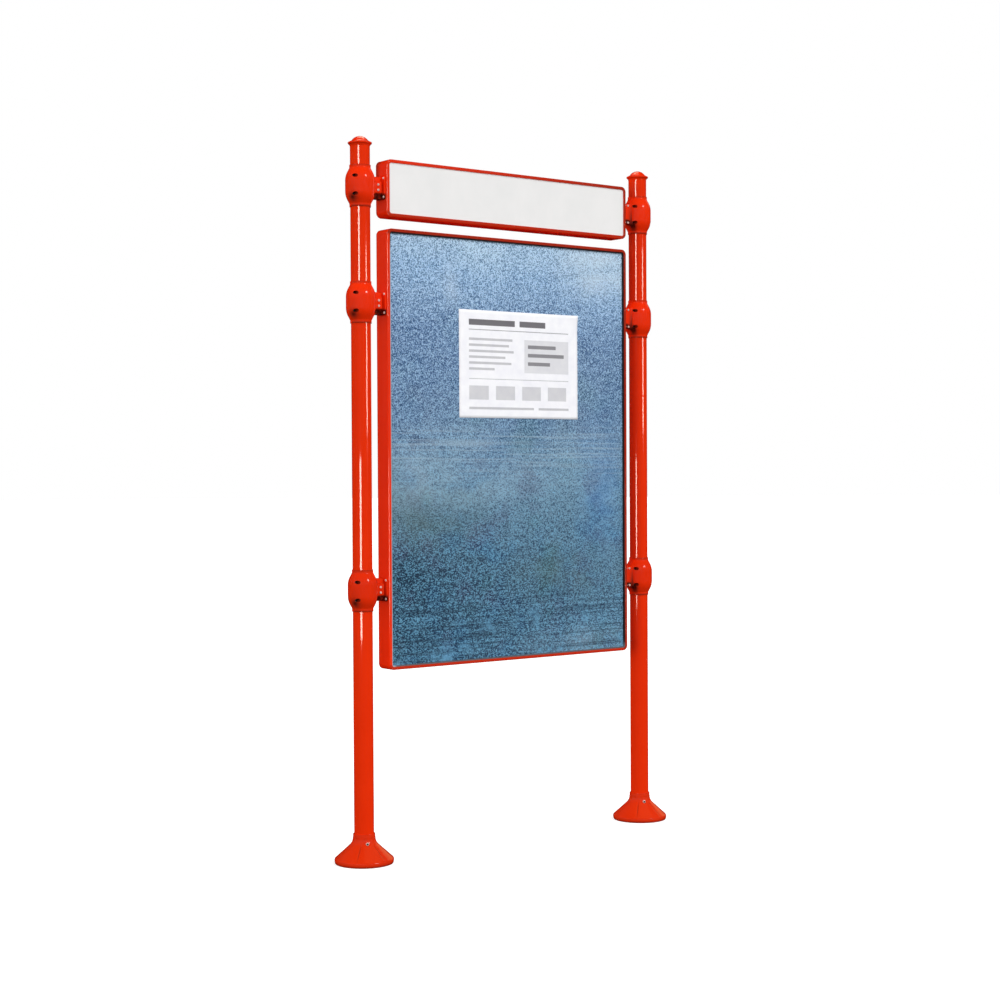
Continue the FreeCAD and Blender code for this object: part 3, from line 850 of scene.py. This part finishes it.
pockets = [rod(spot, FORWARD, POCKET_RADIUS) for spot in BOLT_SPOTS]
CASTINGS = {}
for side, front_lug, rear_lug in (("left", SHORT_LUG, TALL_LUG), ("right", TALL_LUG, SHORT_LUG)):
    front = casting(half_barrel(GROOVE_DEPTH), [lug(*front_lug)], pockets)
    x, y, z = corners_of(front).T
    from_bolt = np.hypot(np.abs(x) - BOLT_X, np.abs(z) - BOLT_RISE)
    # painted shade in the bolt pockets and along the collar ends, darker at the foot; a painted shadow under
    # the lug on the right; painted shade on the lower belly on the left
    in_pocket = 0.8 * ((from_bolt < POCKET_RADIUS + 0.1) & (y < 0.1 - BOLT_SEAT))
    by_the_lug = np.exp(-((x - 48) ** 2 + (y + 23) ** 2) / 200) * held((-24 - z) / 12) * held((z + 74) / 8)
    by_the_pocket = np.exp(-((x + 46) ** 2 + (y + 20) ** 2 + (z + 46) ** 2) / 380)
    belly_and_lug_shade = np.clip(1.5 * by_the_lug, 0, 0.95) if side == "right" else 0.9 * by_the_pocket
    collar_ends = np.where(z < 0, 0.65, 0.4) * (np.abs(z) > CLAMP_TOP - 1.2)
    paint_shade_and_dirt(front, np.maximum(np.maximum(in_pocket, belly_and_lug_shade), collar_ends))
    CASTINGS[side] = {"front": front, "rear": casting(half_barrel(0.0), [lug(*rear_lug)])}

# %% Clamps
LEVELS = {}
for level in ("header", "upper", "lower"):
    low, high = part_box(f"left_{level}_bracket")
    LEVELS[level] = (low.z + high.z) / 2 / MM
CLAMP_PLACES = [(side, way, *place) for side, way in SIDES.items() for place in LEVELS.items()]
for side, way, level, height in CLAMP_PLACES:
    for half, depth in (("front", 1), ("rear", -1)):
        name = f"{side}_{level}_clamp_{half}"
        mesh = copied(CASTINGS[side][half], name + "_casting", (-way, depth, 1), (way * POST_X, 0, height))
        cast = piece_from(mesh, cast_red, stands_for=[name], lit=["clamps"])
        cast["lug_level"] = height * MM
print("clamp levels", LEVELS)

# %% [markdown]
# ## Plates and trays
# A plate with rounded edges and a folded tray are the same idea: a short profile carried round a rounded
# rectangle. The profile says how far inside the outline and how deep behind the face it lies. Where the
# outline bends, the profile swings round with it.

# %% Profile carried round a rectangle
def around_rectangle(width, low, height, corner, profile, axes, steps=9):
    """Points of a profile (inset, depth) carried round a rounded rectangle: each outline point moves
    inwards along its normal by the inset. Axes say where the outline's two directions and the depth lie."""
    turn = np.linspace(0, np.pi / 2, steps + 1)
    bearing = (np.arange(4)[:, None] * np.pi / 2 + turn).ravel()
    normal = np.stack([np.cos(bearing), np.sin(bearing)], axis=-1)
    half = np.array([width / 2 - corner, height / 2 - corner])
    signs = np.repeat(np.array([[1, 1], [-1, 1], [-1, -1], [1, -1]]), steps + 1, axis=0)
    outline = signs * half + corner * normal + [0, low + height / 2]
    flat = outline[:, None] - profile[:, 0][None, :, None] * normal[:, None]
    points = np.empty((*flat.shape[:2], 3))
    points[..., axes[:2]] = flat
    points[..., axes[2]] = profile[:, 1]
    return points


FACING_FRONT, FACING_SIDE = (0, 2, 1), (1, 2, 0)

# %% Brackets
PLATE_START, PLATE_END, TAB_START = 92.0, 98.05, 59.0
TAB_END = PLATE_START + 2
PLATE_WIDTH, PLATE_TALL, PLATE_CORNER = 56.0, 90.0, 8.0
TAB_WIDTH, TAB_TALL, TAB_CORNER = 10.0, 84.0, 2.5

plate_edge = rounded([(3.0, PLATE_START), (0, PLATE_START, 1.6), (0, PLATE_END), (3.0, PLATE_END)])
tab_edge = rounded([(2.0, TAB_START), (0, TAB_START, 1.2), (0, TAB_END), (2.0, TAB_END)])
plate_grid = around_rectangle(PLATE_WIDTH, -PLATE_TALL / 2, PLATE_TALL, PLATE_CORNER, plate_edge, FACING_SIDE)
tab_grid = around_rectangle(TAB_WIDTH, -TAB_TALL / 2, TAB_TALL, TAB_CORNER, tab_edge, FACING_SIDE)
bracket = weld("bracket", [shell(grid, ring_rows=True, lids="columns") for grid in (plate_grid, tab_grid)])
for side, way, level, height in CLAMP_PLACES:
    name = f"{side}_{level}_bracket"
    mesh = copied(bracket, name + "_plate", (-way, 1, 1), (way * POST_X, 0, height))
    plate = piece_from(mesh, tray_red, stands_for=[name])
    plate["lug_level"] = height * MM

# %% [markdown]
# ## Tray frames
# Each tray's four rails are folded from sheet and welded at the corners, and paint hides the welds, so
# one ring stands for all four. Lips are painted darker and browner than walls, most of all on the right,
# at the top and at the foot, and the rear edge on the left is darker too. A painted shadow lies at the top
# of the header's left side, near its rear edge.

# %% Tray frames
TRAY_WIDTH, TRAY_FRONT, TRAY_REAR, TRAY_CORNER, TRAY_WALL = 1220.0, -38.0, 38.0, 22.0, 3.0


def tray_frame(name, lip, recess):
    """A closed rail profile carried round the tray's outline."""
    low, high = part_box(f"{name}_bottom_rail")[0].z / MM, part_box(f"{name}_top_rail")[1].z / MM
    back = TRAY_FRONT + recess
    outer_wall = [(0, TRAY_REAR), (0, TRAY_REAR - 7), (0, TRAY_REAR - 30), (0, TRAY_FRONT + 8)]
    lip_edges = [(0, TRAY_FRONT, 4.5), (lip, TRAY_FRONT, 1.4), (lip, back)]
    inner_wall = [(TRAY_WALL, back), (TRAY_WALL, TRAY_REAR)]
    rail = rounded(outer_wall + lip_edges + inner_wall, closed=True)
    grid = around_rectangle(TRAY_WIDTH, low, high - low, TRAY_CORNER, rail, FACING_FRONT)
    mesh = weld(f"{name}_frame", [ring(grid)])
    x, y, z = corners_of(mesh).T
    # lips painted darker and browner, the left rear edge darker, and a painted shadow at the top rear of the
    # header's left side
    brown = np.maximum(x > 590, (z > high - 20) * (1.0 if name == "board" else held(0.5 + x / 900)))
    lips = (y < TRAY_FRONT + 2.5) * np.maximum(0.26 + 0.42 * brown, 0.55 * (z < low + 20))
    rear_edge = 0.45 * (y > TRAY_REAR - 1) * (x < -600)
    painted_shadow = 0.62 * (y > TRAY_REAR - 8) * (x < -590) * (z > high - 24) * (name == "header")
    paint_shade_and_dirt(mesh, np.maximum(lips, np.maximum(rear_edge, painted_shadow)))
    rails = [f"{name}_{side}_rail" for side in ("top", "bottom", "left", "right")]
    piece_from(mesh, tray_red, stands_for=rails, lit=["posts_and_trays", "trays"])
    return low, high - low


tray_frame("header", 13.0, 4.0)
board_low, board_tall = tray_frame("board", 12.0, 10.0)

# %% A strip put in the recess round the display sheet, to carry its painted shadow and light
STRIP_OUTSIDE, STRIP_INSIDE, STRIP_FRONT, STRIP_REAR = 12.1, 17.0, -35.0, -28.1

front_edge = [(STRIP_OUTSIDE, STRIP_FRONT), (STRIP_INSIDE, STRIP_FRONT, 0.9)]
rear_edge = [(STRIP_INSIDE, STRIP_REAR), (STRIP_OUTSIDE, STRIP_REAR)]
strip = rounded(front_edge + rear_edge, closed=True)
grid = around_rectangle(TRAY_WIDTH, board_low, board_tall, TRAY_CORNER, strip, FACING_FRONT)
piece_from(weld("recess_shadow_and_light", [ring(grid)]), edge.material)

# %% [markdown]
# ## The notice
# A sheet of coated paper lies on the zinc, a little wavy, with one corner lifting. Its print is only a
# layout of bars. The grid's lines run along the bars' edges, so every face is either paper or ink, and an
# attribute on the faces tells the finish which.

# %% Paper
paper = Finish("notice_paper", Specular_IOR_Level=0.25)
sheet = paper.blend(paper.mottle(25.0, 6.0), paint(252, 252, 255), paint(242, 242, 248))
paper.wear("Base Color", paper.blend(paper.mark("ink"), sheet, paint(58, 52, 60)))
paper.wear("Roughness", paper.mottle(120.0, 3.0, 0.50, 0.62))
paper.ripple(paper.noise(700.0, 3.0), 0.06, 0.0002)

# %% Layout of the print
low_corner, high_corner = (np.array(corner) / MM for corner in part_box("notice_sheet"))
PAGE_WIDTH, PAGE_HEIGHT = high_corner[0] - low_corner[0], high_corner[2] - low_corner[2]
LINES = list(zip((0.36, 0.33, 0.37, 0.30, 0.35, 0.21), 0.72 - 0.055 * np.arange(6)))
BOXED_LINES = [(0.24, 0.66), (0.31, 0.58), (0.19, 0.50)]

# left, right, foot and top of each bar as shares of the page, and how dark its ink is
BARS = np.array(
    [(0.08, 0.46, 0.86, 0.915, 0.85), (0.50, 0.72, 0.86, 0.915, 0.85), (0.08, 0.92, 0.815, 0.823, 0.6)]
    + [(0.08, 0.08 + share, foot, foot + 0.022, 0.42) for share, foot in LINES]
    + [(0.54, 0.92, 0.43, 0.742, 0.22)]
    + [(0.57, 0.57 + share, foot, foot + 0.034, 0.75) for share, foot in BOXED_LINES]
    + [(0.08, 0.92, 0.36, 0.366, 0.5)]
    + [(left, left + 0.16, 0.17, 0.30, 0.32) for left in (0.08, 0.30, 0.52, 0.74)]
    + [(0.08, 0.62, 0.08, 0.102, 0.42), (0.66, 0.92, 0.08, 0.102, 0.42)]
)


def lines_between(edges, most):
    """Grid lines through all the edges, with more between them where they lie further apart than most."""
    edges = np.unique(np.round(np.concatenate([[0, 1], edges]), 5))
    counts = np.maximum(1, np.ceil(np.diff(edges) / most)).astype(int)
    runs = [np.linspace(a, b, n, endpoint=False) for a, b, n in zip(edges[:-1], edges[1:], counts)]
    return np.concatenate([*runs, [1.0]])


# %% Notice
PAPER_GAP, PAPER_THICKNESS = 0.15, 0.25

across_page = lines_between(BARS[:, :2].ravel(), 0.02)
up_page = lines_between(BARS[:, 2:4].ravel(), 0.03)
u, v = np.meshgrid(across_page, up_page, indexing="ij")
lift = 0.5 + 0.35 * np.sin(5.2 * u + 1.1) * np.sin(3.7 * v + 0.4) + 5.0 * held((u + v - 1.84) / 0.16) ** 2
depth = high_corner[1] - PAPER_GAP - lift
page = np.stack([low_corner[0] + u * PAGE_WIDTH, depth, low_corner[2] + v * PAGE_HEIGHT], axis=-1)
notice_mesh = weld("notice", [shell(page)])

middle = rows_of(notice_mesh.polygons, "center") / MM
u = ((middle[:, 0] - low_corner[0]) / PAGE_WIDTH)[:, None]
v = ((middle[:, 2] - low_corner[2]) / PAGE_HEIGHT)[:, None]
inside = (u > BARS[:, 0]) & (u < BARS[:, 1]) & (v > BARS[:, 2]) & (v < BARS[:, 3])
darkness = (inside * BARS[:, 4]).max(axis=1).astype(np.float32)
notice_mesh.attributes.new("ink", "FLOAT", "FACE").data.foreach_set("value", darkness)
if rows_of(notice_mesh.polygons, "normal")[:, 1].mean() > 0:
    notice_mesh.flip_normals()
notice = piece_from(notice_mesh, paper.material, stands_for=["notice_sheet"])
thickness = notice.modifiers.new("thickness", "SOLIDIFY")
thickness.thickness = PAPER_THICKNESS * MM
thickness.offset = -1.0

# %% [markdown]
# ## Screws and bolts
# Screw heads, bright with a painted reflection, sit on the lugs, the brackets and the skirts, and bolts
# deep in the clamps' pockets. A head is a turned shape whose innermost rings are six-sided: a
# hexagon's radius is its half width divided by the cosine of the bearing within each side.

# %% Screw heads
def screw_head(centre, axis, radius, height, socket, domed=True):
    """A head with a hexagon socket, seated at a centre and standing along an axis: rings of radius and
    height from the socket's floor over the rim and down the side, closed at both poles."""
    axis = np.array(axis, float)
    turn = full_turn(36)[:, None]
    hexagon = socket / 2 / np.cos((turn + np.pi / 6) % (np.pi / 3) - np.pi / 6)
    crown = 0.45 if domed else 0.94
    socket_rings = [(0.0, 0.35, 0), (0.98, 0.35, 1), (1.0, 0.97, 1), (1.06, 1.0, 1)]
    crown_ring = ((socket / 2 / radius + 1) / 2, 0.5 * (1 + max(crown, 0.86)), 0)
    side_rings = [(0.93, max(crown, 0.72), 0), (1.0, crown * 0.9, 0), (1.0, 0.0, 0), (0.0, 0.0, 0)]
    rings = np.array([*socket_rings, crown_ring, *side_rings])
    reach = np.where(rings[:, 2] > 0, rings[:, 0] * hexagon, rings[:, 0] * radius)
    flat = reach[..., None] * spokes(axis, [0, 0, 1], turn)[:, None]
    return shell(np.array(centre, float) + flat + (rings[:, 1] * height)[:, None] * axis, ring_rows=True)


# %% Clamp bolts, lug screws and bracket screws
# radius, height and socket width of each kind of head
BOLT_HEAD, SMALL_HEAD = (4.9, 6.0, 5.0, False), (4.6, 3.4, 3.6)
SET_HEAD, BACK_HEAD = (6.2, 5.0, 5.6), (5.0, 3.0, 3.5)
SHORT_LUG_SCREWS, TALL_LUG_SCREWS = (70, 10.5), (71, 36)
BRACKET_SCREW_DEPTH, BRACKET_SCREW_RISE = 23.0, 36

bolts, lug_screws, bracket_screws = [], [], []
for side, way, level, height in CLAMP_PLACES:
    for x, y, z in BOLT_SPOTS:
        bolts.append(screw_head((way * (POST_X - x), y, height + z), FORWARD, *BOLT_HEAD))
    for face in (-1, 1):
        x, rise = SHORT_LUG_SCREWS if face == way else TALL_LUG_SCREWS
        for z in (height - rise, height + rise):
            seat = (way * (POST_X - x), face * LUG_OUTSIDE, z)
            lug_screws.append(screw_head(seat, (0, face, 0), *SMALL_HEAD))
        for z in (height - BRACKET_SCREW_RISE, height + BRACKET_SCREW_RISE):
            seat = (way * (POST_X - PLATE_START), face * BRACKET_SCREW_DEPTH, z)
            bracket_screws.append(screw_head(seat, (way, 0, 0), *SMALL_HEAD))
piece_from(weld("clamp_bolts", bolts), dull_plated)
piece_from(weld("lug_screws", lug_screws), plated_with_painted_glint)
piece_from(weld("bracket_screws", bracket_screws), plated_with_painted_glint)

# %% Set screws of the skirts
SOCKET_REACH = 3.3

for side, way in SIDES.items():
    seat = screw_seat + [way * POST_X, 0, 0]
    mesh = weld(f"{side}_set_screw", [screw_head(seat, screw_way, *SET_HEAD)])
    # painted shade inside the socket
    from_axis = np.linalg.norm(np.cross(corners_of(mesh) - seat, screw_way), axis=1)
    paint_shade_and_dirt(mesh, 1.0 * (from_axis < SOCKET_REACH))
    piece_from(mesh, plated_with_painted_glint, f"{side}_skirt")

# %% Screws of the back panels
BACK_MARGIN, BACK_END, BACK_X = 14, 30, 200

back_screws = []
for name, count in (("header", 2), ("board", 5)):
    low, high = (np.array(corner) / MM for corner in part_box(f"{name}_back_panel"))
    levels = np.linspace(low[2] + BACK_END, high[2] - BACK_END, count)
    spots = [(x, z) for x in (low[0] + BACK_MARGIN, high[0] - BACK_MARGIN) for z in levels]
    spots += [(x, z) for x in (-BACK_X, BACK_X) for z in (low[2] + BACK_MARGIN, high[2] - BACK_MARGIN)]
    back_screws += [screw_head((x, high[1], z), (0, 1, 0), *BACK_HEAD) for x, z in spots]
piece_from(weld("back_screws", back_screws), plated_with_painted_glint)

# %% [markdown]
# ## The nodes that stay
# Flat plates and folded pans are already right as solids, so those nodes keep their own meshes and only
# get their finish, in the first material slot.

# %% Finishes for the nodes that stay
KEPT = {
    "header_plate": white.material,
    "display_sheet": zinc.material,
    "header_back_panel": tray_red,
    "board_back_panel": tray_red,
}
for name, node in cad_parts.items():
    if node.hide_render:
        continue
    finish = KEPT.get(name, grey_plated)
    node.data.materials.clear()
    node.data.materials.append(finish)
    print(name, "wears", finish.name)

# %% [markdown]
# ## The floor
# A plain pale floor carries the board. It glows a little, so that it fades into the white wall, and only
# the shade round the feet is left.

# %% Floor
ground = Finish("pale_floor", Roughness=0.9, Specular_IOR_Level=0.1, Emission_Strength=0.5)
ground.shader.inputs["Emission Color"].default_value = (1, 1, 1, 1)
ground.wear("Base Color", ground.blend(ground.mottle(4.0), (0.86, 0.86, 0.86, 1), (0.83, 0.83, 0.83, 1)))
disc = turned(np.array([(0.0, 0.0), (4000.0, 0.0), (90000.0, 0.0)]), FULL_TURN, 0.0, -0.2)
floor = placed(weld("floor", [shell(disc, ring_rows=True)]))
floor.data.materials.append(ground.material)
floor.visible_diffuse = False
floor.visible_glossy = False
